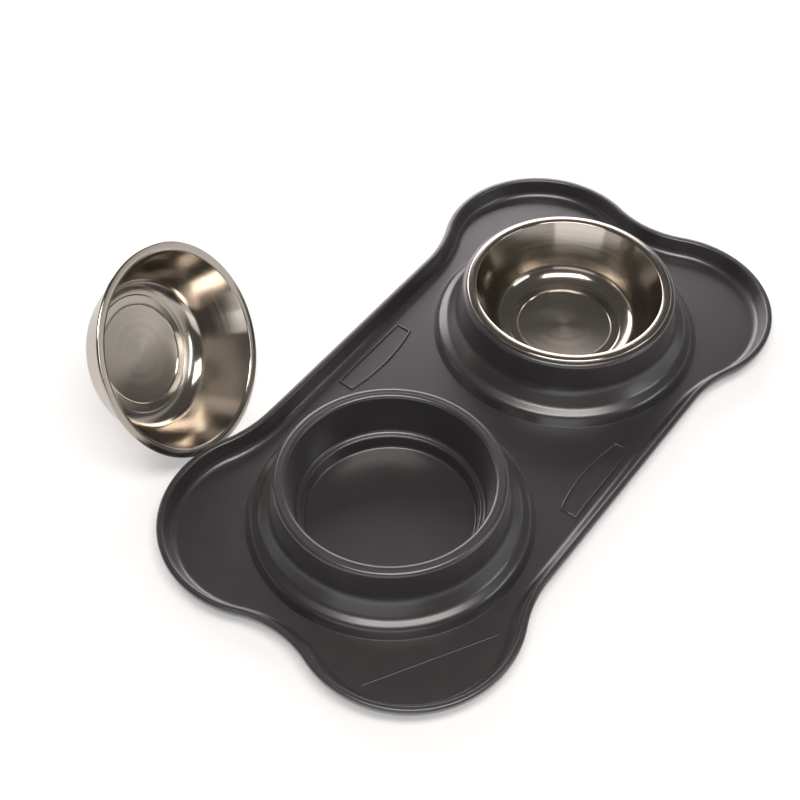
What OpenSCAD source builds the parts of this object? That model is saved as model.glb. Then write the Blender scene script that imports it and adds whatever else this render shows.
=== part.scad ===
// Double pet bowl: a silicone mat moulded with two raised wells, and two loose steel bowls.
// The mat is one moulding. Its tray, its raised frames and its wells are drawn as solids that meet
// face to face.
// One bowl sits in its well. The other is tipped out on its side against the long edge of the mat.
// Millimetres, +Z up. The origin is the middle of the mat's underside, and the wells lie along X.

/* [Steel bowls] */
// Outer radius of a bowl at its rolled rim
rim_r = 74; // [68:1:80]
// Width of the flat flange between the rim and the wall
flange_w = 6.1; // [5:0.1:8]
// Height of a bowl from its bottom to the top of its flange
bowl_h = 41.8; // [36:0.1:50]
// Radius of the inside where the wall ends and the bottom curve starts
base_r = 54.6; // [50:0.2:56]
// Height of the bottom curve between the wall and the raised ring line
base_rise = 8.6; // [7:0.2:10]
// Radius of the ring line round the bottom
ring_line_r = 42; // [38:1:45]
// Radius of the turned disc in the middle of the bottom
disc_r = 34.4; // [28:0.2:36]
// Thickness of the steel
steel_t = 0.8; // [0.6:0.1:1]
// Radius of the rolled edge of the rim
curl_r = 1.2; // [1:0.1:1.5]

/* [Wells] */
// Space left under a bowl that sits in its well
floor_play = 2.1; // [1:0.1:4]
// How far the bead reaches out past the middle of its groove
bead_out = 4.7; // [4.2:0.1:6]
// Free play between a bowl's wall and the mouth of its well
mouth_play = 0.4; // [0.3:0.1:1]
// Radius of the rounded shoulders of the bead
bead_round = 2.4; // [2:0.1:3]
// Depth of the groove that the rolled rim lies over
groove_d = 0.8; // [0.6:0.1:1]
// Width of that groove
groove_w = 2.8; // [2.6:0.1:3.2]
// How far the foot of a well spreads out past its bead
foot_spread = 20.5; // [16:0.5:24]
// Room between a bowl and the step ring low down in its well
step_play = 4.7; // [3:0.1:6]
// Height of the step ring above the table
step_h = 13.2; // [11:0.1:15]
// Gap between the feet of the two wells
well_gap = 20; // [14:1:30]
// Thickness of the silicone in the walls of a well
skin = 3; // [2.5:0.1:3.2]

/* [Mat] */
// Thickness of the flat sheet
sheet_t = 3; // [2.5:0.1:3.5]
// Height of the raised lip above the table
lip_h = 15.5; // [12:0.5:18]
// Width of the lip, from its outer edge to the flat of the tray
lip_w = 16; // [14:0.5:18]
// How far the foot of the lip is drawn in under its outer edge
flare = 11; // [9:0.5:12]
// Mat left past the foot of a well at each short end
end_margin = 34; // [30:1:44]
// Mat left past the foot of a well at each long side
side_margin = 19.5; // [17:0.5:26]
// How far the rounded corners bulge out past the long sides
waist_in = 15; // [11:0.5:18]
// How far the short ends are notched in between the corners
notch_in = 11; // [9:0.5:12]
// Radius of the rounded corners
lobe_r = 76; // [70:1:80]
// Radius of the hollow curve between a corner and the long side
waist_fillet_r = 90; // [70:1:120]

/* [Label frames] */
// Length of the plain moulded frame at each long side
frame_l = 72; // [60:1:80]
// Width of a frame
frame_w = 17; // [13:0.5:18]
// Width of its raised line
frame_line = 1.4; // [1:0.1:2]
// Height of its raised line above the tray
frame_h = 0.5; // [0.3:0.1:0.8]
// Radius of its arched side
frame_arch_r = 150; // [120:5:240]

/* [Placing] */
// Clearance between a bowl and what it rests on
seat_gap = 0.3; // [0.2:0.1:0.4]
// Clearance between the bowl lying on its side and the edge of the mat
side_gap = 0.5; // [0.3:0.1:0.9]
// How far the tipped bowl is turned from square to the long side, in degrees
tip_turn = 12; // [0:1:20]
// Way from the middle of the rounded corner to the tipped bowl, in degrees from square to the long side
tip_place = 22; // [14:1:30]

/* [Hidden] */
$fn = 96;

// Steps in each arc of the mat's outline
lobe_steps = 18;
hollow_steps = 6;
// Steps in half of the straight waist, with half a step left at the middle
waist_steps = 9;
// Steps round a rounded edge in a turned outline
edge_steps = 6;
// Flats round each round hole of the tray, which touch the foot of the well from outside
hole_steps = 96;
// Places round a bowl's rolled edge that are tested for the room they leave
rim_steps = 360;

// Bowl, measured down from the top of its flange
wall_top_r = rim_r - flange_w;
curl_c = rim_r - curl_r;
disc_drop = steel_t / 2;
disc_d = bowl_h - steel_t;
ring_line_d = disc_d - disc_drop;
base_d = ring_line_d - base_rise;

// Wells: the rolled rim lies over the groove of the bead
seat_z = sheet_t + floor_play + bowl_h;
well_h = seat_z - 2 * curl_r - seat_gap + groove_d;
groove_r = curl_c;
bead_r = groove_r + bead_out;
mouth_r = wall_top_r + mouth_play;
foot_r = bead_r + foot_spread;
step_r = base_r + step_play;
well_x = foot_r + well_gap / 2;

// Outline of the mat: rounded corners, a hollow notch at each end and a straight waist
half_l = well_x + foot_r + end_margin;
waist_y = foot_r + side_margin;
lobe_x = half_l - lobe_r;
lobe_y = waist_y + waist_in - lobe_r;
notch_x = half_l - notch_in;
notch_run = notch_x - lobe_x;
notch_r = (pow(notch_run, 2) + pow(lobe_y, 2) - pow(lobe_r, 2)) / (2 * (lobe_r - notch_run));
notch_cx = notch_x + notch_r;
fillet_y = waist_y + waist_fillet_r;
fillet_x = lobe_x - sqrt(pow(lobe_r + waist_fillet_r, 2) - pow(fillet_y - lobe_y, 2));

// Points of an arc round c, as [x, y, outward x, outward y]; side is -1 on a hollow arc
function arc_points(c, r, from, to, steps, side) = [
    for (i = [0 : steps])
        let (a = from + (to - from) * i / steps)
        [c[0] + r * cos(a), c[1] + r * sin(a), side * cos(a), side * sin(a)]
];

function without_last(list) = [for (i = [0 : len(list) - 2]) list[i]];
function without_first(list) = [for (i = [1 : len(list) - 1]) list[i]];
function reversed(list) = [for (i = [len(list) - 1 : -1 : 0]) list[i]];
function mirrored(list, sx, sy) = [for (p = list) [p[0] * sx, p[1] * sy, p[2] * sx, p[3] * sy]];

notch_end = atan2(lobe_y, lobe_x - notch_cx);
lobe_start = atan2(-lobe_y, notch_cx - lobe_x);
lobe_end = atan2(fillet_y - lobe_y, fillet_x - lobe_x);
fillet_start = atan2(lobe_y - fillet_y, lobe_x - fillet_x);

quarter = concat(
    without_last(arc_points([notch_cx, 0], notch_r, 180, notch_end, hollow_steps, -1)),
    arc_points([lobe_x, lobe_y], lobe_r, lobe_start, lobe_end, lobe_steps, 1),
    without_first(arc_points([fillet_x, fillet_y], waist_fillet_r, fillet_start, -90, hollow_steps, -1)),
    [for (i = [1 : waist_steps]) [fillet_x * (1 - 2 * i / (2 * waist_steps + 1)), waist_y, 0, 1]]
);
outline = concat(
    quarter,
    reversed(mirrored(quarter, -1, 1)),
    without_first(mirrored(quarter, -1, -1)),
    reversed(mirrored(without_first(quarter), 1, -1))
);

// Cross-section of the lip, from its foot over the top to the tray.
// Outer side: shares of the flare and of the height above the table
lip_outer_shares = [[1, 0], [0.7, 0.1], [0.41, 0.27], [0.16, 0.51], [0.03, 0.75], [0, 0.87], [0.06, 0.96]];
// Inner side: shares of the width and of the height above the tray
lip_inner_shares = [
    [0.13, 1], [0.23, 0.98], [0.31, 0.88], [0.39, 0.64], [0.51, 0.37], [0.68, 0.14], [0.85, 0.03], [1, 0]
];
lip_section = concat(
    [for (s = lip_outer_shares) [s[0] * flare, s[1] * lip_h]],
    [for (s = lip_inner_shares) [s[0] * lip_w, sheet_t + s[1] * (lip_h - sheet_t)]]
);

// Well: shares of the way in from foot to bead, and of the way up from the sheet to the bead
flank_shares = [
    [0, 0], [0.088, 0.06], [0.17, 0.11], [0.235, 0.14], [0.31, 0.16], [0.439, 0.179], [0.585, 0.205],
    [0.707, 0.262], [0.82, 0.357], [0.888, 0.452], [0.946, 0.595], [0.976, 0.738], [0.99, 0.88]
];
// Bead: shares of the way across a shoulder or the groove, and of the shoulder's or the groove's drop
bead_outer_shares = [[1, 1], [0.94, 0.54], [0.78, 0.16], [0.55, 0]];
bead_groove_shares = [[0.5, 0.3], [0.18, 1], [-0.18, 1], [-0.5, 0.3]];
bead_inner_shares = [[0.37, 0.04], [0.165, 0.3], [0.03, 0.7], [0, 1]];
bead_in = groove_r - mouth_r;
flank = [for (s = flank_shares) [foot_r - s[0] * foot_spread, sheet_t + s[1] * (well_h - sheet_t)]];
bead = concat(
    [for (s = bead_outer_shares) [groove_r + s[0] * bead_out, well_h - s[1] * bead_round]],
    [for (s = bead_groove_shares) [groove_r + s[0] * groove_w, well_h - s[1] * groove_d]],
    [for (s = bead_inner_shares) [mouth_r + s[0] * bead_in, well_h - s[1] * bead_round]]
);

// Points of an arc round c in a turned outline
function edge_points(c, r, from, to, steps) = [
    for (i = [0 : steps])
        let (a = from + (to - from) * i / steps)
        [c[0] + r * cos(a), c[1] + r * sin(a)]
];

// Inside a well: the rounded edge of the step, the cove round the floor, the shelf behind the step's
// edge, and how far the step's face leans in towards the floor
step_round = 1.6;
floor_cove = 2;
shelf_w = 3.4;
step_lean = 1;
shelf_r = step_r + shelf_w;
well_inside = concat(
    [[shelf_r + step_round, step_h + step_round]],
    edge_points([step_r + step_round, step_h - step_round], step_round, 90, 180, edge_steps),
    edge_points([step_r - step_lean - floor_cove, sheet_t + floor_cove], floor_cove, 0, -90, edge_steps),
    [[0, sheet_t]]
);

// Unit step along a list of points, and the point moved square to it by d to its right
function along(list, i) =
    let (a = list[max(i - 1, 0)], b = list[min(i + 1, len(list) - 1)])
    (b - a) / norm(b - a);
function moved(list, i, d) = let (u = along(list, i)) list[i] + d * [u[1], -u[0]];

// The first point of the flank that the hollow underneath follows
flank_first = 4;
under_flank = [for (i = [len(flank) - 1 : -1 : flank_first]) moved(flank, i, -skin)];
shelf_under = step_h - skin;
well_under = concat(
    [
        [0, 0],
        [step_r - step_lean + skin, 0],
        [step_r + skin, shelf_under],
        [shelf_r + step_round + skin, shelf_under],
        [mouth_r + skin, well_h - bead_round - skin],
        [groove_r - skin / 2, well_h - groove_d - skin],
        [groove_r + skin / 2, well_h - groove_d - skin]
    ],
    under_flank,
    [[foot_r - skin, 0]]
);

// Bowl, as [radius, height below the flange]
cove_shares = [[0, 0], [0.07, 0.3], [0.2, 0.47], [0.39, 0.65], [0.68, 0.86], [1, 1]];
// Steps round the rolled edge
curl_steps = 12;
// The bend from wall to flange: its drop, and how far it starts inside the flange
wall_drop = 1.4;
wall_top_in = 0.5;
// Width of the slope round the turned disc
disc_edge = 0.6;
bowl_inside = concat(
    [
        [0, -disc_d],
        [disc_r, -disc_d],
        [disc_r + disc_edge, -ring_line_d]
    ],
    reversed([for (s = cove_shares) [base_r + (ring_line_r - base_r) * s[0], -base_d - base_rise * s[1]]]),
    [
        [wall_top_r - wall_top_in, -wall_drop],
        [wall_top_r, -wall_drop / 4],
        [wall_top_r + wall_drop / 2, 0]
    ]
);
bowl_outside = [for (i = [len(bowl_inside) - 1 : -1 : 1]) moved(bowl_inside, i, steel_t)];
curl = edge_points([curl_c, -curl_r], curl_r, 90, -180, curl_steps);
bowl_outline = concat(
    bowl_inside,
    curl,
    bowl_outside,
    [[0, -bowl_h]]
);

// A bowl on its side stands on its rolled rim and on the corner of its base
corner_index = 2 + len(cove_shares) - 1;
corner = moved(bowl_inside, corner_index, steel_t);
corner_down = -corner[1] - curl_r;
corner_in = curl_c - corner[0];
tip = acos(curl_r / norm([corner_down, corner_in])) - atan2(corner_in, corner_down);
rest_h = corner[0] * sin(tip) - corner[1] * cos(tip);

// Middle of its rolled edge at angle a round the rim, from the middle of the rim and above the table
function rolled_at(a) =
    let (x = curl_c * cos(a), y = curl_c * sin(a) * cos(tip) + curl_r * sin(tip))
    [
        x * cos(tip_turn) - y * sin(tip_turn),
        x * sin(tip_turn) + y * cos(tip_turn),
        rest_h + curl_c * sin(a) * sin(tip) - curl_r * cos(tip)
    ];

// All of the rolled edge that is lower than the lip stays clear of the rounded corner, seen from above.
// Way from the corner's middle to the bowl's at which the point p of the rolled edge is just clear
away = [sin(tip_place), cos(tip_place)];
clear_r = lobe_r + side_gap + curl_r;
function way_to_clear(p) =
    let (ahead = p * away, beside = p * [away[1], -away[0]])
    abs(beside) < clear_r ? sqrt(pow(clear_r, 2) - pow(beside, 2)) - ahead : 0;
low_rim = [
    for (i = [0 : rim_steps - 1])
        let (p = rolled_at(i * 360 / rim_steps))
        if (p[2] - curl_r < lip_h) [p[0], p[1]]
];
stand_off = max([for (p = low_rim) way_to_clear(p)]);
lying_x = stand_off * away[0] - lobe_x;
lying_y = stand_off * away[1] + lobe_y;

// Lip and sheet of the mat as one closed skin: rings of points that follow the outline, and two holes
rings = len(lip_section);
count = len(outline);
half = count / 2;
half_hole = hole_steps / 2;
hole_r = foot_r / cos(180 / hole_steps);
tray_points = concat(
    [for (s = lip_section) for (p = outline) [p[0] - p[2] * s[0], p[1] - p[3] * s[0], s[1]]],
    [for (side = [-1, 1]) for (z = [0, sheet_t]) for (i = [0 : hole_steps - 1])
        [side * well_x + hole_r * cos(i * 360 / hole_steps), hole_r * sin(i * 360 / hole_steps), z]]
);
function ring_point(k, i) = k * count + i % count;
function hole_point(side, level, i) = rings * count + (2 * side + level) * hole_steps + i % hole_steps;

// The far half of a flat is a strip of triangles between the lip and the two holes, from right to left.
// Each new point of one side is joined to the last point passed on the other. turn 1 gives the near half
chain = [for (side = [1, 0]) for (i = [0 : half_hole]) [side, i]];
chain_x = [for (c = chain) tray_points[hole_point(c[0], 0, c[1])][0]];
function passed(list, x) = len([for (i = [1 : len(list) - 1]) if (list[i] >= x) i]);
function flat(k, level, turn) =
    let (
        lip_x = [for (i = [0 : half]) tray_points[ring_point(k, i)][0]],
        lip_at = [for (i = [0 : half]) ring_point(k, i + turn * half)],
        hole_at = [for (c = chain) hole_point(turn == 0 ? c[0] : 1 - c[0], level, c[1] + turn * half_hole)]
    )
    concat(
        [for (i = [0 : half - 1])
            [lip_at[i], lip_at[i + 1], hole_at[passed(chain_x, lip_x[i + 1])]]],
        [for (j = [0 : len(chain) - 2])
            [hole_at[j + 1], hole_at[j], lip_at[passed(lip_x, chain_x[j + 1])]]]
    );

module mat_tray() {
    lip = [
        for (k = [0 : rings - 2])
            for (i = [0 : count - 1])
                for (f = [[ring_point(k, i), ring_point(k + 1, i + 1), ring_point(k, i + 1)],
                          [ring_point(k, i), ring_point(k + 1, i), ring_point(k + 1, i + 1)]])
                    f
    ];
    hole_walls = [
        for (side = [0, 1])
            for (i = [0 : hole_steps - 1])
                for (f = [[hole_point(side, 0, i + 1), hole_point(side, 1, i + 1), hole_point(side, 1, i)],
                          [hole_point(side, 0, i + 1), hole_point(side, 1, i), hole_point(side, 0, i)]])
                    f
    ];
    top = [for (turn = [0, 1]) for (f = flat(rings - 1, 1, turn)) reversed(f)];
    bottom = [for (turn = [0, 1]) for (f = flat(0, 0, turn)) f];
    color("#464446")
        polyhedron(tray_points, concat(lip, hole_walls, top, bottom), convexity = 8);
}

// Plain frame with one arched side, drawn in by inset
module frame_shape(inset) {
    far_y = waist_y - lip_w;
    arch_y = far_y - frame_w + frame_arch_r;
    intersection() {
        translate([-frame_l / 2 + inset, far_y - frame_w + inset])
            square([frame_l - 2 * inset, frame_w - 2 * inset]);
        translate([0, arch_y])
            circle(r = frame_arch_r - inset);
    }
}

module label_frames() {
    color("#464446")
        for (turn = [0, 180])
            rotate([0, 0, turn])
                translate([0, 0, sheet_t])
                    linear_extrude(frame_h)
                        difference() {
                            frame_shape(0);
                            frame_shape(frame_line);
                        }
}

module well() {
    rotate_extrude(convexity = 6)
        polygon(concat(
            well_under,
            [[foot_r, 0]],
            flank,
            bead,
            well_inside
        ));
}

module left_well() {
    color("#3f3d3f")
        translate([-well_x, 0, 0])
            well();
}

module right_well() {
    color("#3f3d3f")
        translate([well_x, 0, 0])
            well();
}

module bowl() {
    rotate_extrude(convexity = 6)
        polygon(bowl_outline);
}

module food_bowl() {
    color("#b9b4ac")
        translate([well_x, 0, seat_z])
            bowl();
}

module water_bowl() {
    color("#a8a198")
        translate([lying_x, lying_y, rest_h])
            rotate([0, 0, tip_turn])
                rotate([tip, 0, 0])
                    bowl();
}

mat_tray();
label_frames();
left_well();
right_well();
food_bowl();
water_bowl();
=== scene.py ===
import math

import bpy
from mathutils import Matrix, Vector


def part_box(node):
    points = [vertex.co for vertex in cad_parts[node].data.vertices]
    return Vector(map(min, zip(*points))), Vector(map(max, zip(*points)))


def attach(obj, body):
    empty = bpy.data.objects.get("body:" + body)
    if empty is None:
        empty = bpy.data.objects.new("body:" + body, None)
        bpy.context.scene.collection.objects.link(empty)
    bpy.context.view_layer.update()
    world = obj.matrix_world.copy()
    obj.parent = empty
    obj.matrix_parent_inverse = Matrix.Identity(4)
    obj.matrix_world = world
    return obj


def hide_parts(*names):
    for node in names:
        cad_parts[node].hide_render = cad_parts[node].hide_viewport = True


bl_info = {
    "name": "Double pet bowl",
    "version": (1, 0, 0),
    "blender": (4, 5, 0),
    "location": "View3D > Sidebar > Pet bowl",
    "description": "Builds a silicone feeding mat with two wells and its two spun steel bowls",
    "category": "Add Mesh",
}

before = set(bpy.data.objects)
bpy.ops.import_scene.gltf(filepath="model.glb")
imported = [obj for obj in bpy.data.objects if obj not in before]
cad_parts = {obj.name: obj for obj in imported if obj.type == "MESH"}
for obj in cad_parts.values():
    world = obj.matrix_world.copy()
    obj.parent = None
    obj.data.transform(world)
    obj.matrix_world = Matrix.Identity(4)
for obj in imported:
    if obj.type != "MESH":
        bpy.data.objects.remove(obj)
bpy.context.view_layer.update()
MM = 0.001

# Frame: where the solids are
TRAY_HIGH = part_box("mat_tray")[1]
WELL_LOW, WELL_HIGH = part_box("right_well")
SEATED_LOW, SEATED_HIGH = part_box("food_bowl")
TIPPED_LOW, TIPPED_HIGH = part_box("water_bowl")
WELL_X = (WELL_LOW[0] + WELL_HIGH[0]) / 2
FOOT_R = (WELL_HIGH[0] - WELL_LOW[0]) / 2
WELL_H = WELL_HIGH[2]
RIM_R = (SEATED_HIGH[0] - SEATED_LOW[0]) / 2
SEAT_Z = SEATED_HIGH[2]
BOWL_H = SEATED_HIGH[2] - SEATED_LOW[2]

# The tipped bowl: how far it leans over, and how far it is turned round
TIP_LEAN = math.radians(59.65)
TIP_TURN = math.radians(12)

# Radius of a bowl's rolled edge, which lies over the groove of a well
CURL_R = 1.2 * MM

# Mould seams across two corners of the tray, each from end to end, in millimetres
SEAMS = (((112, 113), (222, 64)), ((-222, -63.5), (-142, -110.5)))

# Fineness: steps round a well and a bowl, steps of each stretch in a quarter of the mat's outline, the
# sharpest edge that is shaded smooth, and how near each other two vertices are made one
WELL_STEPS = 192
BOWL_STEPS = 256
NOTCH_STEPS, CORNER_STEPS, HOLLOW_STEPS, WAIST_STEPS = 14, 66, 16, 24
SMOOTH_BELOW = math.radians(50)
MERGE = 0.002 * MM

# A spun skin starts this far from its axis, and what is nearer than the reach is the edge of its hole
WELL_HOLE_R = 0.5 * MM
BOWL_HOLE_R = 0.4 * MM
HOLE_REACH = 0.6 * MM

# How exactly the edge of a flat lies at its height, and at its distance from a well's axis
LEVEL_SLACK = 0.001 * MM
RADIUS_SLACK = 0.01 * MM

# Stage: the point that the photograph's camera looks at, its turn, rise and roll, and its distance
AIM = Vector((-51.1, 34.6, 44.0)) * MM
CAMERA_TURN = math.radians(-53.605)
CAMERA_RISE = math.radians(49.625)
CAMERA_ROLL = math.radians(0.3145)
CAMERA_REACH = 1008.25 * MM
LENS_MM = 66.7
SENSOR_MM = 36.0

# Soft lamps: degrees round from the camera's side to its right, degrees above the table, metres away,
# metres wide, metres high, watts, colour
SOFTBOXES = {
    "overhead_softbox": (10, 74.5, 1.5, 1.1, 0.5, 19.5, "#fffaf6"),
    "backdrop_softbox": (194, 26, 1.8, 2.2, 0.85, 29, "#fff8fa"),
    "right_softbox": (75, 30, 1.5, 0.6, 0.2, 3, "#ffffff"),
    "front_fill": (-12, 18, 1.6, 1.8, 0.6, 4, "#ffffff"),
}

# Paper floor, in metres: its size, its colour, the share of plain white that the eye gets near the
# object, and the distances over which that share rises to the whole
FLOOR_SIZE = 30.0
PAPER = "#f4f3f2"
WHITE_NEAR = 0.35
WHITE_FROM, WHITE_TO = 0.35, 1.3

# Room: the strength of its light, and the white sweep behind the object, which darkens from one height
# in the view to another
ROOM_LIGHT = 0.2
SWEEP_FROM, SWEEP_TO = 0.08, 0.35
SWEEP_LOW, SWEEP_HIGH = 1.0, 0.12
WHITE = (1.0, 1.0, 1.0, 1.0)


# Sizes and colours a user would change

def length(name, text, value):
    return bpy.props.FloatProperty(name=name, description=text, default=value, min=0.0, unit="LENGTH")


def colour(name, text, value):
    return bpy.props.FloatVectorProperty(
        name=name, description=text, default=linear(value), min=0.0, max=1.0, size=4, subtype="COLOR")


def linear(hex_colour):
    """An sRGB hex colour as linear RGBA."""
    parts = [int(hex_colour[i:i + 2], 16) / 255 for i in (1, 3, 5)]
    return tuple(c / 12.92 if c <= 0.04045 else ((c + 0.055) / 1.055) ** 2.4 for c in parts) + (1.0,)


class MatSizes(bpy.types.PropertyGroup):
    corner_radius: length("Corner radius", "Radius of the four rounded corners", 76 * MM)
    notch: length("End notch", "How far each short end is notched in", 11 * MM)
    waist: length("Waist", "How far the long sides are drawn in between the corners", 15 * MM)
    waist_radius: length("Waist radius", "Radius of the hollow curve into the long side", 90 * MM)
    sheet: length("Sheet", "Thickness of the flat sheet", 3 * MM)
    flare: length("Flare", "How far the foot of the lip is drawn in", 11 * MM)
    crest: length("Crest", "Width of the flat top of the lip, with its rounded edges", 4.6 * MM)
    lip_width: length("Lip width", "From the lip's outer edge to the foot of its inner wall", 8.6 * MM)
    skin: length("Skin", "Thickness of the walls of a well", 3 * MM)
    bead_out: length("Bead, outside", "From the groove's middle to the outside of the bead", 4.7 * MM)
    bead_in: length("Bead, inside", "From the groove's middle to the mouth of the well", 4.5 * MM)
    bead_round: length("Bead shoulders", "Radius of the rounded shoulders of the bead", 3.1 * MM)
    groove: length("Groove", "Depth of the groove that a bowl's rolled edge lies over", 0.06 * MM)
    step_radius: length("Step radius", "Radius of the step ring inside a well", 59.3 * MM)
    step_height: length("Step height", "Height of the step ring above the table", 13.2 * MM)
    silicone: colour("Silicone", "Colour of the moulded silicone", "#242122")


class BowlSizes(bpy.types.PropertyGroup):
    steel: length("Steel", "Thickness of the steel", 0.8 * MM)
    curl: length("Curl", "Radius of the rolled edge", CURL_R)
    flange: length("Flange", "Width of the flat flange", 6.1 * MM)
    base_radius: length("Base radius", "Inside radius where the wall ends", 54.6 * MM)
    ring_line: length("Ring line", "Radius of the ring line round the bottom", 42 * MM)
    disc: length("Disc", "Radius of the turned disc in the bottom", 34.4 * MM)
    steel_colour: colour("Steel colour", "Colour of the polished stainless steel", "#b0a89e")


# Curves and outlines

def arc(centre, radius, start, end, steps):
    """Points of an arc, in the plane, from one angle to another."""
    angles = [start + (end - start) * i / steps for i in range(steps + 1)]
    return [(centre[0] + radius * math.cos(a), centre[1] + radius * math.sin(a)) for a in angles]


def bezier(a, b, c, d, steps):
    """Points of a cubic curve from a to d that leaves towards b and arrives from c."""
    points = []
    for i in range(steps + 1):
        t = i / steps
        weights = ((1 - t) ** 3, 3 * t * (1 - t) ** 2, 3 * t * t * (1 - t), t ** 3)
        points.append(tuple(sum(w * p[k] for w, p in zip(weights, (a, b, c, d))) for k in (0, 1)))
    return points


def rounded(corners, steps):
    """A line through corners (x, z, radius), each rounded with its own radius."""
    nearly_straight = math.radians(89)
    points = [tuple(corners[0][:2])]
    for before, corner, after in zip(corners, corners[1:], corners[2:]):
        here = Vector(corner[:2])
        back = (Vector(before[:2]) - here).normalized()
        on = (Vector(after[:2]) - here).normalized()
        half = back.angle(on) / 2
        if corner[2] <= 0 or half > nearly_straight:
            points.append(tuple(here))
            continue
        reach = corner[2] / math.tan(half)
        centre = here + (back + on).normalized() * (corner[2] / math.sin(half))
        first = here + back * reach - centre
        turn = first.angle_signed(here + on * reach - centre)
        for i in range(steps + 1):
            spoke = first.copy()
            spoke.rotate(Matrix.Rotation(-turn * i / steps, 2))
            points.append(tuple(centre + spoke))
    points.append(tuple(corners[-1][:2]))
    return points


def mat_outline(sizes):
    """Points of the mat's outline with their outward directions, all the way round."""
    half_l = TRAY_HIGH[0]
    half_w = TRAY_HIGH[1]
    r = sizes.corner_radius
    lobe = (half_l - r, half_w - r)
    run = r - sizes.notch
    notch_r = (run ** 2 + lobe[1] ** 2 - r ** 2) / (2 * sizes.notch)
    notch = (lobe[0] + run + notch_r, 0.0)
    hollow_y = half_w - sizes.waist + sizes.waist_radius
    hollow_x = lobe[0] - math.sqrt((r + sizes.waist_radius) ** 2 - (hollow_y - lobe[1]) ** 2)
    hollow = (hollow_x, hollow_y)

    def angle(a, b):
        return math.atan2(b[1] - a[1], b[0] - a[0])

    # Half of the notch, the corner, and the hollow curve: centre, radius, angles, steps, and whether the
    # outward direction is away from the centre or towards it
    arcs = [
        (notch, notch_r, math.pi, angle(notch, lobe), NOTCH_STEPS, -1),
        (lobe, r, angle(lobe, notch), angle(lobe, hollow), CORNER_STEPS, 1),
        (hollow, sizes.waist_radius, angle(hollow, lobe), -math.pi / 2, HOLLOW_STEPS, -1),
    ]
    quarter = []
    for centre, radius, start, end, steps, side in arcs:
        points = arc(centre, radius, start, end, steps)
        if quarter:
            points = points[1:]
        quarter += [
            (x, y, side * (x - centre[0]) / radius, side * (y - centre[1]) / radius) for x, y in points
        ]
    # The straight side has an odd number of steps in all, so this half ends beside the middle
    waist_y = quarter[-1][1]
    quarter += [
        (hollow_x * (1 - 2 * i / (2 * WAIST_STEPS + 1)), waist_y, 0.0, 1.0) for i in range(1, WAIST_STEPS + 1)
    ]

    def mirror(points, sx, sy):
        return [(x * sx, y * sy, nx * sx, ny * sy) for x, y, nx, ny in points]

    return (quarter + mirror(quarter, -1, 1)[::-1] + mirror(quarter, -1, -1)[1:]
            + mirror(quarter[1:], 1, -1)[::-1])


# Modelling by hand

def pick(*objects):
    """Selects just these objects, with the first one active."""
    bpy.ops.object.select_all(action="DESELECT")
    for obj in objects:
        obj.select_set(True)
    bpy.context.view_layer.objects.active = objects[0]


def edit(obj):
    """Opens just this object in edit mode, with nothing selected in it."""
    pick(obj)
    bpy.ops.object.mode_set(mode="EDIT")
    bpy.ops.mesh.select_mode(type="VERT")
    bpy.ops.mesh.select_all(action="DESELECT")


def close_edit():
    """Goes back to object mode, which writes the edits to the mesh."""
    bpy.ops.object.mode_set(mode="OBJECT")


def added(name, points, edges, faces):
    """A new mesh object in the scene."""
    mesh = bpy.data.meshes.new(name)
    mesh.from_pydata(points, edges, faces)
    obj = bpy.data.objects.new(name, mesh)
    bpy.context.collection.objects.link(obj)
    return obj


def drawn(name, points, closed):
    """A line of edges through points, ready to be spun or extruded."""
    edges = [(i, i + 1) for i in range(len(points) - 1)]
    if closed:
        edges.append((len(points) - 1, 0))
    return added(name, points, edges, [])


def face_outwards(obj):
    """Turns all faces the same way, outwards where the mesh is closed."""
    edit(obj)
    bpy.ops.mesh.select_all(action="SELECT")
    bpy.ops.mesh.normals_make_consistent(inside=False)
    close_edit()


def turned(name, profile, steps, centre_x=0.0):
    """Spins a profile of (radius, height) once round a vertical axis, and merges its last copy with it."""
    obj = drawn(name, [(centre_x + r, 0.0, z) for r, z in profile], False)
    edit(obj)
    bpy.ops.mesh.select_all(action="SELECT")
    bpy.ops.mesh.spin(
        steps=steps, angle=2 * math.pi, center=(centre_x, 0, 0), axis=(0, 0, 1), use_auto_merge=False)
    bpy.ops.mesh.select_all(action="SELECT")
    bpy.ops.mesh.remove_doubles(threshold=MERGE)
    close_edit()
    return obj


def joined(objects, name):
    """One object of several, under a new name."""
    pick(*objects)
    bpy.ops.object.join()
    obj = objects[0]
    obj.name = name
    obj.data.name = name
    return obj


def select_open_edges(obj, test):
    """Opens the object with those of its open edges selected whose two ends pass the test."""
    edit(obj)
    bpy.ops.mesh.select_mode(type="EDGE")
    bpy.ops.mesh.select_non_manifold(
        extend=False, use_wire=False, use_boundary=True, use_multi_face=False, use_non_contiguous=False,
        use_verts=False)
    close_edit()
    vertices = obj.data.vertices
    for vertex in vertices:
        vertex.select = False
    for edge in obj.data.edges:
        edge.select = edge.select and all(test(vertices[i].co) for i in edge.vertices)
        if edge.select:
            for i in edge.vertices:
                vertices[i].select = True
    bpy.ops.object.mode_set(mode="EDIT")


def close_middle(obj, centre_x=0.0):
    """Fills the small hole that a spun skin leaves round its axis."""
    select_open_edges(obj, lambda co: math.hypot(co.x - centre_x, co.y) < HOLE_REACH)
    bpy.ops.mesh.edge_face_add()
    close_edit()


def smooth(obj):
    """Shades the object smooth but for its sharp edges."""
    pick(obj)
    bpy.ops.object.shade_smooth_by_angle(angle=SMOOTH_BELOW)


def hand_over(obj, material, slot, body, *nodes):
    """Gives a finished piece its material and its body, and hides the solids that it stands for. The slot is
    not used.
    """
    obj.data.materials.clear()
    obj.data.materials.append(material)
    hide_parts(*nodes)
    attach(obj, body)


# Materials

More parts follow.
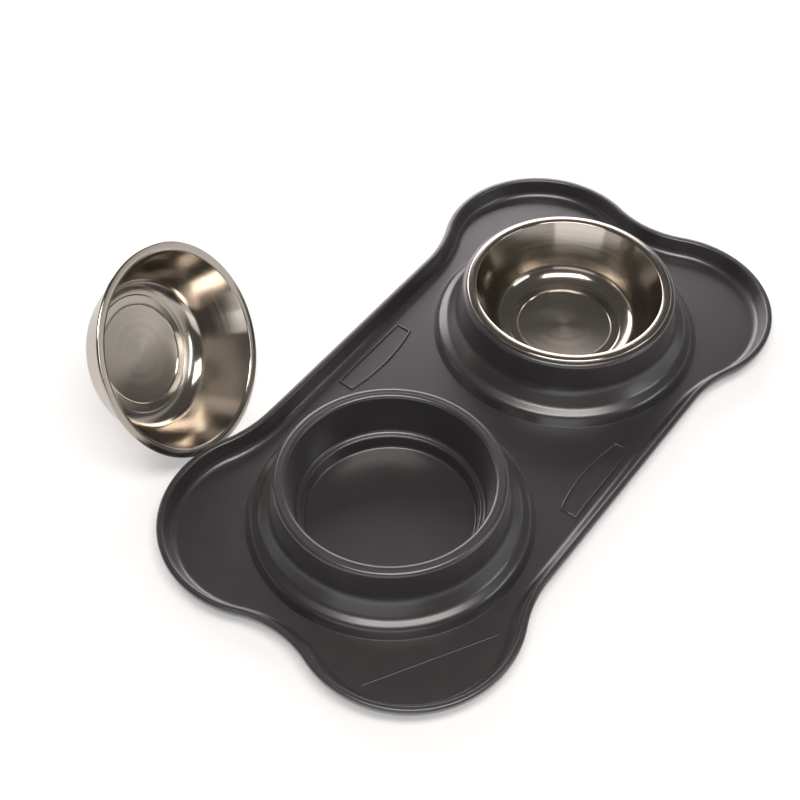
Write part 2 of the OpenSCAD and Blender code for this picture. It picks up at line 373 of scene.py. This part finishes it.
def node(tree, kind, inputs=None, **settings):
    """Adds a node with its settings. Its inputs are other nodes' sockets to link in, or plain values."""
    made = tree.nodes.new(kind)
    for key, value in settings.items():
        setattr(made, key, value)
    for key, value in (inputs or {}).items():
        if isinstance(value, bpy.types.NodeSocket):
            tree.links.new(value, made.inputs[key])
        else:
            made.inputs[key].default_value = value
    return made


def fresh(name):
    """A new material with no nodes, and its tree."""
    material = bpy.data.materials.new(name)
    material.use_nodes = True
    material.node_tree.nodes.clear()
    return material, material.node_tree


def noise(tree, place, size, detail):
    """Noise with patches of one size, through space or, where the place is one number, along it."""
    if place.type == "VECTOR":
        where = {"Vector": place}
        dimensions = "3D"
    else:
        where = {"W": place}
        dimensions = "1D"
    return node(tree, "ShaderNodeTexNoise", {**where, "Scale": 1 / size, "Detail": detail},
                noise_dimensions=dimensions).outputs["Fac"]


def ranged(tree, value, low, high, start=0.0, end=1.0, **settings):
    """A value that runs from start to end, made to run from low to high."""
    limits = {"From Min": start, "From Max": end, "To Min": low, "To Max": high}
    return node(tree, "ShaderNodeMapRange", {"Value": value, **limits}, **settings).outputs["Result"]


def tinted(base, shares):
    """A colour with each of its channels scaled."""
    return tuple(c * share for c, share in zip(base, shares)) + (1.0,)


def seen_directly(tree):
    """One for what is seen directly, in gloss or through glass, and nothing for what only gives light."""
    path = node(tree, "ShaderNodeLightPath")
    seen = path.outputs["Is Camera Ray"]
    for ray in ("Is Glossy Ray", "Is Transmission Ray"):
        seen = node(tree, "ShaderNodeMath", {0: seen, 1: path.outputs[ray]}, operation="MAXIMUM").outputs[0]
    return seen


def moulded_silicone(base):
    """Compression-moulded silicone rubber: satin, with the fine grain of a blasted mould, a faint
    unevenness that breaks up wide reflections, and over it the sharper gloss of a moulded skin."""
    material, tree = fresh("moulded_silicone")
    place = node(tree, "ShaderNodeTexCoord").outputs["Object"]
    # Grain of the mould, drawn a little coarser than it is so that it shows
    grain = noise(tree, place, size=0.6 * MM, detail=3.0)
    # Slow waves of a soft sheet
    waves = noise(tree, place, size=60 * MM, detail=2.0)
    # Handling marks and dust
    marks = noise(tree, place, size=12 * MM, detail=5.0)
    shade = node(tree, "ShaderNodeMix", {"Factor": waves}, data_type="RGBA")
    # The mix node has sockets of every type, and these are its coloured ones. They go from a little darker
    # to a little lighter and more purple
    ends = [socket for socket in shade.inputs if socket.type == "RGBA"]
    ends[0].default_value = tinted(base, (0.94, 0.94, 0.94))
    ends[1].default_value = tinted(base, (1.08, 1.04, 1.07))
    shaded = [socket for socket in shade.outputs if socket.type == "RGBA"][0]
    tone = ranged(tree, marks, low=0.92, high=1.08)
    varied = node(tree, "ShaderNodeVectorMath", {0: shaded, "Scale": tone}, operation="SCALE")
    fine = node(tree, "ShaderNodeBump", {"Height": grain, "Strength": 0.12, "Distance": 0.03 * MM})
    bump = node(tree, "ShaderNodeBump", {
        "Height": waves, "Normal": fine.outputs["Normal"], "Strength": 0.25, "Distance": 0.4 * MM})
    shader = node(tree, "ShaderNodeBsdfPrincipled", {
        "Base Color": varied.outputs["Vector"],
        "Roughness": ranged(tree, marks, low=0.34, high=0.46),
        "Normal": bump.outputs["Normal"],
        "IOR": 1.5,
        "Coat Weight": 0.9,
        "Coat Roughness": 0.25,
        "Sheen Weight": 0.06,
        "Sheen Roughness": 0.5,
    })
    node(tree, "ShaderNodeOutputMaterial", {"Surface": shader.outputs["BSDF"]})
    return material


def spun_steel(base):
    """Stainless steel, spun and polished: fine rings left by the tool, and highlights drawn out across
    them. The bowls' meshes hold where a point is along the profile, in millimetres, and which way is
    across the rings."""
    material, tree = fresh("spun_stainless_steel")
    along = node(tree, "ShaderNodeAttribute", attribute_name="along").outputs["Fac"]
    across = node(tree, "ShaderNodeAttribute", attribute_name="across_rings").outputs["Vector"]
    # Tool rings are about 0.3 mm apart, and are drawn further apart so that they show
    rings = noise(tree, along, size=1.3, detail=1.0)
    # Slower bands, where the tool was pressed harder
    bands = noise(tree, along, size=6, detail=2.0)
    tone = ranged(tree, rings, low=0.94, high=1.04)
    varied = node(tree, "ShaderNodeVectorMath", {0: base[:3], "Scale": tone}, operation="SCALE")
    bump = node(tree, "ShaderNodeBump", {"Height": rings, "Strength": 0.06, "Distance": 0.02 * MM})
    shader = node(tree, "ShaderNodeBsdfPrincipled", {
        "Base Color": varied.outputs["Vector"],
        "Roughness": ranged(tree, bands, low=0.1, high=0.2),
        "Normal": bump.outputs["Normal"],
        "Tangent": across,
        "Metallic": 1.0,
        "Anisotropic": 0.7,
    })
    node(tree, "ShaderNodeOutputMaterial", {"Surface": shader.outputs["BSDF"]})
    return material


def white_paper():
    """Plain white paper. Near the object it keeps some shadow for the eye, and further off it is all
    white."""
    material, tree = fresh("white_paper")
    paper = node(tree, "ShaderNodeBsdfDiffuse", {"Color": linear(PAPER)})
    place = node(tree, "ShaderNodeTexCoord").outputs["Object"]
    away = node(tree, "ShaderNodeVectorMath", {0: place}, operation="LENGTH").outputs["Value"]
    white_there = ranged(tree, away, low=WHITE_NEAR, high=1.0, start=WHITE_FROM, end=WHITE_TO,
                         interpolation_type="SMOOTHSTEP")
    share = node(tree, "ShaderNodeMath", {0: seen_directly(tree), 1: white_there}, operation="MULTIPLY")
    white = node(tree, "ShaderNodeEmission", {"Color": WHITE, "Strength": 1.0})
    mixed = node(tree, "ShaderNodeMixShader", {0: share.outputs[0], 1: paper.outputs[0], 2: white.outputs[0]})
    node(tree, "ShaderNodeOutputMaterial", {"Surface": mixed.outputs[0]})
    return material


# Mat

def lip_section(sizes):
    """The lip's cross-section as (inset, height): from its foot over the top to the flat of the tray."""
    top = TRAY_HIGH[2]
    sheet = sizes.sheet
    flare = sizes.flare
    crown = 1.8 * MM
    crest_round = 2.0 * MM
    foot_round = 6.0 * MM
    under_run = 0.6 * MM
    tray_run = 5.0 * MM
    # The outside sweeps out from its foot and is upright under the crown
    foot_pull = (flare * 0.42, sheet * 0.7)
    side_pull = (0.0, top * 0.5)
    outer = bezier((flare, 0.0), foot_pull, side_pull, (0.0, top - crown), steps=12)
    over = arc((crown, top - crown), crown, math.pi, math.pi / 2, steps=6)
    inner = rounded([
        over[-1], (sizes.crest, top, crest_round), (sizes.lip_width, sheet, foot_round),
        (sizes.lip_width + tray_run, sheet, 0),
    ], steps=9)
    return [(flare + under_run, 0.0)] + outer + over[1:] + inner[1:]


def swept_lip(sizes):
    """Extrudes the mat's outline along the lip's cross-section."""
    outline = mat_outline(sizes)
    rings = [
        [(x - nx * inset, y - ny * inset, z) for x, y, nx, ny in outline] for inset, z in lip_section(sizes)
    ]
    obj = drawn("lip", rings[0], True)
    edit(obj)
    bpy.ops.mesh.select_all(action="SELECT")
    for _ in rings[1:]:
        bpy.ops.mesh.extrude_edges_move()
    close_edit()
    # Each extrusion adds its ring after the last one
    places = [place for ring in rings for place in ring]
    for vertex, place in zip(obj.data.vertices, places):
        vertex.co = place
    return obj


def well_skins(sizes):
    """The two skins of a well as (radius, height): the top from the tray to the middle, and the underside."""
    sheet = sizes.sheet
    skin = sizes.skin
    foot = FOOT_R
    top = WELL_H
    shoulder = sizes.bead_round
    groove = RIM_R - CURL_R
    bead = groove + sizes.bead_out
    mouth = groove - sizes.bead_in
    step = sizes.step_radius
    step_top = sizes.step_height

    # From the tray over the sloping ledge, and up the wall, which leans in to the bead
    tray_edge = (foot + 3.0 * MM, sheet)
    ledge_foot = (foot - 0.3 * MM, sheet)
    ledge_edge = (foot - 4.0 * MM, sheet + 6.5 * MM)
    wall_foot = (foot - 10.1 * MM, sheet + 9.1 * MM)
    wall_low = (bead + 2.0 * MM, sheet + 18 * MM)
    wall_high = (bead + 0.5 * MM, sheet + 31 * MM)
    upper = rounded([
        (*tray_edge, 0), (*ledge_foot, 0.3 * MM), (*ledge_edge, 6.5 * MM), (*wall_foot, 8.0 * MM),
        (*wall_low, 13 * MM), (*wall_high, 30 * MM), (bead, top - shoulder, 0),
    ], steps=7)
    upper += arc((bead - shoulder, top - shoulder), shoulder, 0, math.pi / 2, steps=7)[1:]
    # The bowl's rolled edge lies over a shallow groove between the two shoulders
    first, last = bead - shoulder, mouth + shoulder
    across = 12
    for i in range(1, across):
        dip = (1 - math.cos(2 * math.pi * i / across)) / 2
        upper.append((first + (last - first) * i / across, top - sizes.groove * dip))
    upper += arc((last, top - shoulder), shoulder, math.pi / 2, math.pi, steps=7)
    # Down the inner wall and over the step ring to the floor
    step_back = (step + 4.6 * MM, step_top)
    step_foot = (step - 1.1 * MM, sheet)
    upper += rounded([
        upper[-1], (*step_back, 3 * MM), (step, step_top, 1.7 * MM), (*step_foot, 2.2 * MM),
        (WELL_HOLE_R, sheet, 0),
    ], steps=7)[1:]

    # The hollow underneath follows the top about one skin below it
    under_edge = (foot + 1.4 * MM, 0.0)
    under_ledge = (foot - 7.0 * MM, sheet + 3.6 * MM)
    under_foot = (foot - 16.2 * MM, sheet + 6.2 * MM)
    under_wall = (bead - 1.2 * MM, sheet + 19 * MM)
    under_step = (step + 8.0 * MM, step_top - skin)
    floor_edge = (step + skin - 1 * MM, 0.0)
    lower = rounded([
        (*under_edge, 0), (foot - skin, 0.0, 0.6 * MM), (*under_ledge, 1 * MM), (*under_foot, 9 * MM),
        (*under_wall, 16 * MM), (bead - skin, top - skin, 1.2 * MM), (mouth + skin, top - skin, 1.2 * MM),
        (*under_step, 1.4 * MM), (step + skin, step_top - skin, 1.6 * MM), (*floor_edge, 0.6 * MM),
        (WELL_HOLE_R, 0.0, 0),
    ], steps=5)
    return upper, lower


def fill_flat(mat, height, foot):
    """Fills the flat at one height, between the open edge of the lip and those at the feet of the wells."""
    def on_flat(co):
        from_axis = math.hypot(abs(co.x) - WELL_X, co.y)
        return abs(co.z - height) <= LEVEL_SLACK and from_axis > foot - RADIUS_SLACK

    select_open_edges(mat, on_flat)
    bpy.ops.mesh.fill(use_beauty=True)
    close_edit()


def label_frame(sizes, side):
    """A plain raised line with one arched side, on the tray beside the waist."""
    half_l = 36 * MM
    depth = 17 * MM
    from_waist = 16 * MM
    far = TRAY_HIGH[1] - sizes.waist - from_waist
    near = far - depth
    arch_r = 150 * MM
    arch_steps = 24
    line = 1.6 * MM
    rise = 1.0 * MM
    sink = 0.2 * MM

    def loop(inset):
        reach = half_l - inset
        points = [(-reach, far - inset), (reach, far - inset)]
        for i in range(arch_steps + 1):
            x = reach * (1 - 2 * i / arch_steps)
            points.append((x, near + arch_r - math.sqrt((arch_r - inset) ** 2 - x * x)))
        return points

    # One side of the line as (inset, height), rounded over at the top, and the same again on the other
    edge = [(0.0, -sink), (0.0, rise * 0.55), (0.22 * MM, rise * 0.9), (0.5 * MM, rise)]
    rings = edge + [(line - inset, z) for inset, z in reversed(edge)]
    count = len(loop(0.0))
    points = [(x * side, y * side, sizes.sheet + z) for inset, z in rings for x, y in loop(inset)]
    faces = []
    for k in range(len(rings)):
        after = (k + 1) % len(rings)
        for i in range(count):
            j = (i + 1) % count
            faces.append((k * count + i, k * count + j, after * count + j, after * count + i))
    obj = added("label_frame", points, [], faces)
    face_outwards(obj)
    return obj


def seam_line(sizes, start, end):
    """A hair-thin ridge across a corner of the tray, where two plates of the mould meet."""
    half_width = 0.3 * MM
    top_share = 0.3
    ridge = 0.07 * MM
    sink = 0.2 * MM
    start = Vector(start) * MM
    end = Vector(end) * MM
    along = (end - start).normalized()
    side = Vector((-along.y, along.x)) * half_width
    half_section = [(side, -sink), (side, 0.0), (side * top_share, ridge)]
    section = half_section + [(-out, z) for out, z in reversed(half_section)]
    points = [(p.x + out.x, p.y + out.y, sizes.sheet + z) for p in (start, end) for out, z in section]
    count = len(section)
    faces = [tuple(range(count)), tuple(range(count, 2 * count))]
    for i in range(count):
        j = (i + 1) % count
        faces.append((i, j, count + j, count + i))
    obj = added("seam_line", points, [], faces)
    face_outwards(obj)
    return obj


def build_mat(sizes):
    """The whole mat as one skin: lip, tray, two wells and their hollow undersides."""
    upper, lower = well_skins(sizes)
    parts = [swept_lip(sizes)]
    for centre_x in (-WELL_X, WELL_X):
        for profile in (upper, lower):
            skin = turned("well", profile, WELL_STEPS, centre_x)
            close_middle(skin, centre_x)
            parts.append(skin)
    mat = joined(parts, "silicone_mat")
    # The flat of the tray and the flat underside
    fill_flat(mat, sizes.sheet, upper[0][0])
    fill_flat(mat, 0.0, lower[0][0])
    face_outwards(mat)
    frames = [label_frame(sizes, side) for side in (1, -1)]
    seams = [seam_line(sizes, start, end) for start, end in SEAMS]
    mat = joined([mat] + frames + seams, "silicone_mat")
    smooth(mat)
    return mat


# Bowls

def bowl_profile(sizes):
    """A bowl's inner face as (radius, height from the flange), from its middle round its rolled edge."""
    floor = -(BOWL_H - sizes.steel)
    raised = floor + sizes.steel / 2
    disc = sizes.disc
    ring = sizes.ring_line
    base = sizes.base_radius
    base_z = raised + 8.6 * MM
    wall_top = RIM_R - sizes.flange
    curl_r = RIM_R - sizes.curl

    # The bottom: a turned disc pressed down a little, a low ridge round it, a flat, and the ring line's step
    disc_ridge = (disc + 0.55 * MM, raised + 0.15 * MM)
    flat_start = disc + 1.5 * MM
    flat_end = ring - 1.2 * MM
    ring_edge = (ring - 0.3 * MM, raised + 0.22 * MM)
    ring_top = (ring + 1.0 * MM, raised + 0.28 * MM)
    bottom = rounded([
        (BOWL_HOLE_R, floor, 0), (disc, floor, 0.35 * MM), (*disc_ridge, 0.3 * MM),
        (flat_start, raised, 0.4 * MM), (flat_end, raised, 0.4 * MM), (*ring_edge, 0.4 * MM), (*ring_top, 0),
    ], steps=4)

    # The cove leaves the bottom almost level and arrives along the sloping wall
    level_pull = (6 * MM, 0.5 * MM)
    wall_pull = 5.5 * MM
    wall_end = (wall_top - 0.5 * MM, -1.4 * MM)
    wall = Vector((wall_end[0] - base, wall_end[1] - base_z)).normalized()
    cove = bezier(ring_top, (ring_top[0] + level_pull[0], ring_top[1] + level_pull[1]),
                  (base - wall.x * wall_pull, base_z - wall.y * wall_pull), (base, base_z), steps=18)

    # The flat flange between the wall and the rolled edge
    shoulder = (wall_top - 0.35 * MM, -0.35 * MM)
    flange_in = (wall_top + 1.1 * MM, -0.05 * MM)
    flange_out = (curl_r - 2.4 * MM, 0.1 * MM)
    flange = rounded([
        cove[-1], (*shoulder, 1.0 * MM), (*flange_in, 0.5 * MM), (*flange_out, 3 * MM), (curl_r, 0.0, 0),
    ], steps=5)
    curl_end = math.radians(-150)
    curl = arc((curl_r, -sizes.curl), sizes.curl, math.pi / 2, curl_end, steps=16)
    return bottom + cove[1:] + flange[1:] + curl[1:]


def build_bowl(sizes, name):
    """A bowl upright round the Z axis, with the top of its flange at zero."""
    bowl = turned(name, bowl_profile(sizes), BOWL_STEPS)
    close_middle(bowl)
    face_outwards(bowl)
    # The skin is open, so its faces may point either way. They have to point into the bowl
    middle = min(bowl.data.polygons, key=lambda face: face.center.xy.length)
    if middle.normal.z < 0:
        bowl.data.flip_normals()
    pick(bowl)
    solidify = bowl.modifiers.new("Solidify", "SOLIDIFY")
    solidify.thickness = sizes.steel
    solidify.offset = -1.0
    solidify.use_even_offset = True
    bpy.ops.object.modifier_apply(modifier=solidify.name)
    # Radius and height both grow from the middle to the flange, and their sum stands for the way along
    along = bowl.data.attributes.new("along", "FLOAT", "POINT")
    for i, vertex in enumerate(bowl.data.vertices):
        along.data[i].value = (vertex.co.xy.length + vertex.co.z) / MM
    return bowl


def place_bowl(bowl, matrix):
    """Moves the mesh itself, and notes on it the direction that runs across its rings."""
    across = bowl.data.attributes.new("across_rings", "FLOAT_VECTOR", "POINT")
    turn = matrix.to_3x3()
    normals = [vertex.normal.copy() for vertex in bowl.data.vertices]
    for i, vertex in enumerate(bowl.data.vertices):
        round_way = Vector((-vertex.co.y, vertex.co.x, 0.0)).normalized()
        across.data[i].vector = turn @ normals[i].cross(round_way)
    bowl.data.transform(matrix)
    bowl.data.update()


def set_down(obj, low, high):
    """Moves the mesh so that its box has the middle and the underside of another box."""
    corners = [vertex.co for vertex in obj.data.vertices]
    own_low = [min(c[k] for c in corners) for k in range(3)]
    own_high = [max(c[k] for c in corners) for k in range(3)]
    shift = [(a + b) / 2 - (c + d) / 2 for a, b, c, d in zip(low, high, own_low, own_high)]
    shift[2] = low[2] - own_low[2]
    obj.data.transform(Matrix.Translation(shift))


# Stage

def paper_floor():
    """A sheet of white paper that runs out to the horizon."""
    bpy.ops.mesh.primitive_plane_add(size=FLOOR_SIZE, location=(0.0, 0.0, 0.0))
    floor = bpy.context.object
    floor.name = "floor"
    floor.data.materials.append(white_paper())


def studio_world():
    """A dim room for the light, and behind the object a white sweep that darkens overhead."""
    world = bpy.data.worlds.new("studio")
    world.use_nodes = True
    tree = world.node_tree
    tree.nodes.clear()
    room = node(tree, "ShaderNodeBackground", {"Color": WHITE, "Strength": ROOM_LIGHT})
    looking = node(tree, "ShaderNodeTexCoord").outputs["Generated"]
    height = node(tree, "ShaderNodeSeparateXYZ", {"Vector": looking}).outputs["Z"]
    tone = ranged(tree, height, low=SWEEP_LOW, high=SWEEP_HIGH, start=SWEEP_FROM, end=SWEEP_TO)
    sweep = node(tree, "ShaderNodeBackground", {"Color": tone, "Strength": 1.0})
    seen = seen_directly(tree)
    both = node(tree, "ShaderNodeMixShader", {0: seen, 1: room.outputs[0], 2: sweep.outputs[0]})
    node(tree, "ShaderNodeOutputWorld", {"Surface": both.outputs[0]})
    return world


def softbox(name, turn, rise, reach, width, height, watts, tint):
    """A soft lamp that faces the middle of the mat."""
    side = CAMERA_TURN - math.pi / 2 + math.radians(turn)
    up = math.radians(rise)
    away = Vector((math.cos(side) * math.cos(up), math.sin(side) * math.cos(up), math.sin(up)))
    bpy.ops.object.light_add(type="AREA", location=away * reach)
    lamp = bpy.context.object
    lamp.name = name
    lamp.data.shape = "RECTANGLE"
    lamp.data.size = width
    lamp.data.size_y = height
    lamp.data.energy = watts
    lamp.data.color = linear(tint)[:3]
    lamp.rotation_euler = away.to_track_quat("Z", "Y").to_euler()


def photo_camera():
    """The camera of the photograph, at its distance from the point that it looks at."""
    back = Vector((math.sin(CAMERA_TURN) * math.cos(CAMERA_RISE),
                   -math.cos(CAMERA_TURN) * math.cos(CAMERA_RISE), math.sin(CAMERA_RISE)))
    right = Vector((math.cos(CAMERA_TURN), math.sin(CAMERA_TURN), 0.0))
    up = back.cross(right)
    level = Matrix((right, up, back)).transposed()
    bpy.ops.object.camera_add(location=AIM + back * CAMERA_REACH)
    camera = bpy.context.object
    camera.name = "camera"
    camera.rotation_euler = (level @ Matrix.Rotation(CAMERA_ROLL, 3, "Z")).to_euler()
    camera.data.lens = LENS_MM
    camera.data.sensor_width = SENSOR_MM
    return camera


# Operators

class PETBOWL_OT_mat(bpy.types.Operator):
    """Build the silicone mat as one moulded skin"""
    bl_idname = "petbowl.mat"
    bl_label = "Silicone mat"

    def execute(self, context):
        sizes = context.scene.petbowl_mat
        mat = build_mat(sizes)
        hand_over(mat, moulded_silicone(tuple(sizes.silicone)), "silicone", "mat",
                  "mat_tray", "label_frames", "left_well", "right_well")
        return {"FINISHED"}


class PETBOWL_OT_bowls(bpy.types.Operator):
    """Spin the two steel bowls, one seated in its well and one tipped out on its side"""
    bl_idname = "petbowl.bowls"
    bl_label = "Steel bowls"

    def execute(self, context):
        sizes = context.scene.petbowl_bowl
        steel = spun_steel(tuple(sizes.steel_colour))
        seated = build_bowl(sizes, "seated_bowl")
        tipped = bpy.data.objects.new("tipped_bowl", seated.data.copy())
        tipped.data.name = "tipped_bowl"
        context.collection.objects.link(tipped)
        place_bowl(seated, Matrix.Translation((WELL_X, 0.0, SEAT_Z)))
        place_bowl(tipped, Matrix.Rotation(TIP_TURN, 4, "Z") @ Matrix.Rotation(TIP_LEAN, 4, "X"))
        set_down(tipped, TIPPED_LOW, TIPPED_HIGH)
        for bowl, body, solid in (
                (seated, "food_bowl_body", "food_bowl"), (tipped, "water_bowl_body", "water_bowl")):
            smooth(bowl)
            hand_over(bowl, steel, "steel", body, solid)
        return {"FINISHED"}


class PETBOWL_OT_stage(bpy.types.Operator):
    """Set up the floor, the soft lamps and the camera of the photograph"""
    bl_idname = "petbowl.stage"
    bl_label = "Stage"

    def execute(self, context):
        scene = context.scene
        scene.view_settings.view_transform = "Standard"
        paper_floor()
        scene.world = studio_world()
        for name, settings in SOFTBOXES.items():
            softbox(name, *settings)
        scene.camera = photo_camera()
        return {"FINISHED"}


class PETBOWL_PT_panel(bpy.types.Panel):
    """The sizes and colours of the set, and a button for each operator"""
    bl_idname = "PETBOWL_PT_panel"
    bl_label = "Double pet bowl"
    bl_space_type = "VIEW_3D"
    bl_region_type = "UI"
    bl_category = "Pet bowl"

    def draw(self, context):
        for group in (context.scene.petbowl_mat, context.scene.petbowl_bowl):
            column = self.layout.column()
            for name in group.__annotations__:
                column.prop(group, name)
        for operator in OPERATORS:
            self.layout.operator(operator.bl_idname)


OPERATORS = (PETBOWL_OT_stage, PETBOWL_OT_mat, PETBOWL_OT_bowls)
CLASSES = (MatSizes, BowlSizes) + OPERATORS + (PETBOWL_PT_panel,)


def register():
    for cls in CLASSES:
        bpy.utils.register_class(cls)
    bpy.types.Scene.petbowl_mat = bpy.props.PointerProperty(type=MatSizes)
    bpy.types.Scene.petbowl_bowl = bpy.props.PointerProperty(type=BowlSizes)


def unregister():
    del bpy.types.Scene.petbowl_bowl
    del bpy.types.Scene.petbowl_mat
    for cls in reversed(CLASSES):
        bpy.utils.unregister_class(cls)


def main():
    register()
    bpy.ops.petbowl.stage()
    bpy.ops.petbowl.mat()
    bpy.ops.petbowl.bowls()


if __name__ == "__main__":
    main()
